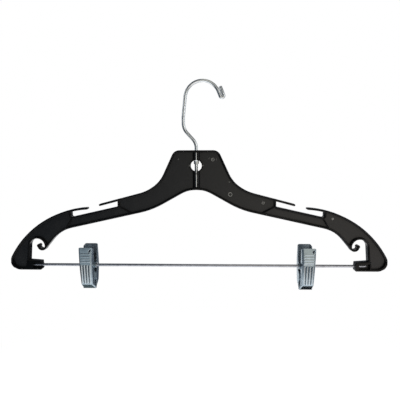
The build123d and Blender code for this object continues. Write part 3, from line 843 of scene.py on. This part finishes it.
# Presses the ribs into a jaw's face: flutes to the lip, grip ribs across the handle, one slanted dimple
def pressTree(sizes, material):
    tree, given = newTree("pressedRibs", {label: ("Float", value) for label, value in sizes.items()})
    values = {label: given[label] for label in sizes}
    for label in ("across", "along"):
        kept = addNode(tree, "GeometryNodeInputNamedAttribute", {"Name": label})
        values[label] = kept.outputs["Attribute"]
    for name, kind, *terms in pressSteps:
        inputs = [values.get(term, term) for term in terms]
        if kind == "FADE":
            step = addNode(tree, "ShaderNodeMapRange", inputs, interpolation_type="SMOOTHSTEP")
        else:
            step = addNode(tree, "ShaderNodeMath", inputs, operation=kind)
        values[name] = step
    normal = addNode(tree, "GeometryNodeInputNormal")
    push = addNode(tree, "ShaderNodeVectorMath", {0: normal, "Scale": values["push"]}, operation="SCALE")
    moved = addNode(tree, "GeometryNodeSetPosition", {"Geometry": given["Geometry"], "Offset": push})
    marked = addNode(tree, "GeometryNodeStoreNamedAttribute", {
        "Geometry": moved, "Name": "pressed", "Value": values["pressed"]})
    endTree(tree, marked, material)
    return tree


def buildJaw(side, jaw, look):
    facing = 1 if jaw == "front" else -1
    name = side + "_" + jaw + "_jaw_pressing"
    skin = jawSkin(name, look, look[jaw + "Widths"], clipPlaces[side], facing)
    sizes = look["ribs"] if jaw == "front" else dict(look["ribs"], **{"Dimple Depth": 0.0})
    piece = bakeTree(name, skin, pressTree(sizes, sheetMetal), sizes)
    thick = piece.modifiers.new("sheetThickness", "SOLIDIFY")
    thick.thickness = look["sheet"] * mm
    thick.offset = -1
    easeEdges(piece, look["rimEdge"], 2, sheetMetal, look["crease"])
    piece.data.materials.append(sheetInside)   # on every face that looks towards the bar
    for face in piece.data.polygons:
        out = face.center - place(clipPlaces[side], 0, 0)
        face.material_index = 1 if face.normal.dot(Vector((out.x, out.y, 0))) < 0 else 0
    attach(piece, side + "_" + jaw)
    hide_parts(side + "_" + jaw + "_jaw")


def buildClip(side, look):
    across = clipPlaces[side]
    buildJaw(side, "front", look)
    buildJaw(side, "rear", look)
    rivet = easeEdges(mergedCopy(side + "_pivot_tube", side + "_eyelet"), look["rivetEdge"], 2, rivetMetal)
    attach(rivet, side + "_carrier")
    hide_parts(side + "_pivot_tube")
    spring = wire(side + "_coil", springRoute(look, across), look["springWire"] / 2 * mm, look["springSides"],
                  springMetal)
    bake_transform(spring)
    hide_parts(side + "_torsion_spring")


for side in clipPlaces:
    buildClip(side, clipLook)
print("clips dressed")


# Camera, stage and light
cameraLook = {"place": (7.8, -391.8, -80.6), "yaw": 1.56, "pitch": 7.0, "roll": -0.15, "lens": 31.47,
              "sensor": 36, "nearest": 0.01}


def buildCamera(look):
    data = bpy.data.cameras.new("camera")
    data.sensor_width = look["sensor"]
    data.lens = look["lens"]
    data.clip_start = look["nearest"]
    camera = newObject("camera", data)
    camera.location = Vector(look["place"]) * mm
    turned = Matrix.Rotation(math.radians(look["yaw"]), 3, "Z") @ Matrix.Rotation(
        math.radians(90 - look["pitch"]), 3, "X") @ Matrix.Rotation(math.radians(look["roll"]), 3, "Z")
    camera.rotation_euler = turned.to_euler()
    bpy.context.scene.camera = camera


stageLook = {
    "floorLevel": -0.62,
    # cards that only the shine sees: name, middle, size, tone
    "cards": [("black", (0.146, 0.042, -0.309), (0.07, 0.09, 0.0), "#08080a"),
              ("grey", (-0.165, 0.042, -0.309), (0.07, 0.09, 0.0), "#5a6668"),
              ("pale", (-0.165, -0.08, -0.23), (0.075, 0.0, 0.095), "#b6bec1")],
    "floorRadius": 0.85,
    "floorSides": 96,
    "floorColour": "#f2f2f2",
    "floorLift": 0.5,            # white added for the camera, so that the lit paper reads as white
    "fade": (0.45, 0.8),         # metres from the middle over which the paper runs out into white
    "worldColour": "#d4d6da",
    "worldStrength": 0.62,
    # the room that gloss mirrors: degrees to the right of straight in front, and a tone; white paper behind
    "room": [(-172, "#ffffff"), (-166, "#8a9096"), (-155, "#474e57"), (-130, "#77828c"), (-60, "#5a646e"),
             (-42, "#3f4751"), (-24, "#4b535e"), (-10, "#7b7f84"), (4, "#d2cfc4"), (16, "#fcf6e8"),
             (22, "#fcf6e8"), (27, "#94918a"), (50, "#8a8986"), (70, "#7c8288"), (90, "#8a9096"),
             (106, "#b6bac0"), (128, "#8a9096"), (158, "#5a616b"), (172, "#ffffff")],
    # and lower down, where only the clips mirror it
    "roomBelow": [(-172, "#ffffff"), (-158, "#8f989e"), (-130, "#2c333c"), (-60, "#1e2228"), (-36, "#4a5058"),
                  (-20, "#75838e"), (4, "#b8b4ac"), (16, "#f2e6e0"), (28, "#f2e6e0"), (50, "#787672"),
                  (70, "#262d38"), (90, "#8a9096"), (106, "#ffffff"), (128, "#4d5661"), (158, "#1c222b"),
                  (172, "#59616b")],
    "roomEye": 1.0,              # how strong the first is at the height of the eye
    "roomLow": 1.6,              # and the second below it
    "roomTop": 0.8,              # and the first high above
    "topRise": (0.0, 0.6),       # how far up a ray points where the first goes over to its strength above
    "lowRise": (-0.3, -0.22),    # and where the second gives way to the first
    "lamps": [
        # name, place, aim, width, height, watts
        ("overhead", (-0.15, -0.35, 1.1), (0.0, 0.0, -0.1), 1.2, 0.9, 11),
        ("left", (-1.3, -0.5, 0.5), (0.0, 0.0, -0.15), 0.4, 0.9, 2),
        ("right", (1.3, -0.7, 0.2), (0.05, 0.0, -0.15), 0.5, 1.1, 5),
    ],
}


# Rays that only look: the camera's own, and those that gloss and glass send out
def lookingRays(tree):
    rays = addNode(tree, "ShaderNodeLightPath").outputs
    seen = addNode(tree, "ShaderNodeMath", (rays["Is Camera Ray"], rays["Is Glossy Ray"]),
                   operation="MAXIMUM")
    both = addNode(tree, "ShaderNodeMath", (seen, rays["Is Transmission Ray"]), operation="MAXIMUM")
    return both, rays["Is Camera Ray"]


def buildFloor(look):
    mesh = bpy.data.meshes.new("floor")
    sides, reach = look["floorSides"], look["floorRadius"]
    turns = [2 * math.pi * step / sides for step in range(sides)]
    mesh.from_pydata([(reach * math.cos(t), reach * math.sin(t), look["floorLevel"]) for t in turns], [],
                     [list(range(sides))])
    floor = newObject("floor", mesh)
    paper, tree, shader = newMaterial("paleStudioPaper", {
        "Roughness": 0.9, "Base Color": linear(look["floorColour"])})
    looking, _ = lookingRays(tree)
    lift = addNode(tree, "ShaderNodeMath", (looking, look["floorLift"]), operation="MULTIPLY")
    glow = addNode(tree, "ShaderNodeEmission", {"Color": (1, 1, 1, 1), "Strength": lift})
    lit = addNode(tree, "ShaderNodeAddShader", (shader, glow))
    white = addNode(tree, "ShaderNodeEmission", {"Color": (1, 1, 1, 1)})
    spot = addNode(tree, "ShaderNodeTexCoord").outputs["Object"]
    flat = addNode(tree, "ShaderNodeVectorMath", (spot, (1, 1, 0)), operation="MULTIPLY")
    far = addNode(tree, "ShaderNodeVectorMath", {0: flat}, operation="LENGTH")
    faded = addNode(tree, "ShaderNodeMapRange", (far.outputs["Value"], *look["fade"]),
                    interpolation_type="SMOOTHSTEP")
    fade = addNode(tree, "ShaderNodeMath", (faded, looking), operation="MULTIPLY")
    mixed = addNode(tree, "ShaderNodeMixShader", (fade, lit, white))
    tree.links.new(mixed.outputs[0], tree.nodes["Material Output"].inputs["Surface"])
    mesh.materials.append(paper)


# Cards under the clips darken their lips, and a pale one in front lights the left clip's face
def buildCards(look):
    for name, middle, size, tone in look["cards"]:
        mesh = bpy.data.meshes.new(name + "Card")
        wide, long = Vector((size[0] / 2, 0, 0)), Vector((0, size[1] / 2, size[2] / 2))
        corners = [x * wide + y * long for x, y in ((-1, -1), (1, -1), (1, 1), (-1, 1))]
        mesh.from_pydata([tuple(Vector(middle) + corner) for corner in corners], [], [(0, 1, 2, 3)])
        paint, _, _ = newMaterial(name + "Card", {
            "Base Color": linear("#000000"), "Roughness": 1.0, "Specular IOR Level": 0.0,
            "Emission Color": linear(tone), "Emission Strength": 1.0})
        mesh.materials.append(paint)
        card = newObject(name + "Card", mesh)
        card.visible_camera = card.visible_diffuse = card.visible_shadow = False


# The world: white to the camera; to gloss a ring of room tones with the white paper behind; else plain light
def buildWorld(look):
    world = bpy.data.worlds.new("studio")
    bpy.context.scene.world = world
    world.use_nodes = True
    tree = world.node_tree
    tree.nodes.clear()
    looking, camera = lookingRays(tree)
    way = addNode(tree, "ShaderNodeSeparateXYZ", {
        "Vector": addNode(tree, "ShaderNodeTexCoord").outputs["Generated"]}).outputs
    toward = addNode(tree, "ShaderNodeMath", (way["Y"], -1.0), operation="MULTIPLY")
    azimuth = addNode(tree, "ShaderNodeMath", (way["X"], toward), operation="ARCTAN2")
    turned = addNode(tree, "ShaderNodeMapRange", (azimuth, -math.pi, math.pi))
    rings = []
    for part in ("room", "roomBelow"):
        stops = [((angle + 180) / 360, tone) for angle, tone in look[part]]
        rings.append(addNode(tree, "ShaderNodeValToRGB", {"Fac": turned}, stops=stops))
    strengths = (look["roomEye"], look["roomTop"])
    height = addNode(tree, "ShaderNodeMapRange", (way["Z"], *look["topRise"], *strengths),
                     interpolation_type="SMOOTHSTEP")
    level = addNode(tree, "ShaderNodeVectorMath", {0: rings[0], "Scale": height}, operation="SCALE")
    below = addNode(tree, "ShaderNodeVectorMath", {0: rings[1], "Scale": look["roomLow"]}, operation="SCALE")
    low = addNode(tree, "ShaderNodeMapRange", (way["Z"], *look["lowRise"], 1.0, 0.0),
                  interpolation_type="SMOOTHSTEP")
    dimmed = addNode(tree, "ShaderNodeMix", {0: low, 6: level, 7: below}, data_type="RGBA")
    glow = addNode(tree, "ShaderNodeMix", {0: camera, 6: dimmed.outputs[2], 7: (1, 1, 1, 1)},
                   data_type="RGBA")
    shown = addNode(tree, "ShaderNodeBackground", {"Color": glow.outputs[2]})
    plain = addNode(tree, "ShaderNodeBackground", {
        "Color": linear(look["worldColour"]), "Strength": look["worldStrength"]})
    mixed = addNode(tree, "ShaderNodeMixShader", (looking, plain, shown))
    addNode(tree, "ShaderNodeOutputWorld", {"Surface": mixed})


def buildLamps(look):
    for name, spot, aim, width, height, watts in look["lamps"]:
        data = bpy.data.lights.new(name, "AREA")
        data.shape = "RECTANGLE"
        data.size = width
        data.size_y = height
        data.energy = watts
        lamp = newObject(name, data)
        lamp.visible_glossy = name != "overhead"   # this one is kept out of the shine
        lamp.location = spot
        lamp.rotation_euler = (Vector(aim) - Vector(spot)).to_track_quat("-Z", "Y").to_euler()


buildCamera(cameraLook)
buildFloor(stageLook)
buildCards(stageLook)
buildWorld(stageLook)
buildLamps(stageLook)
bpy.context.scene.view_settings.view_transform = "Standard"
print("camera, stage and lamps placed")
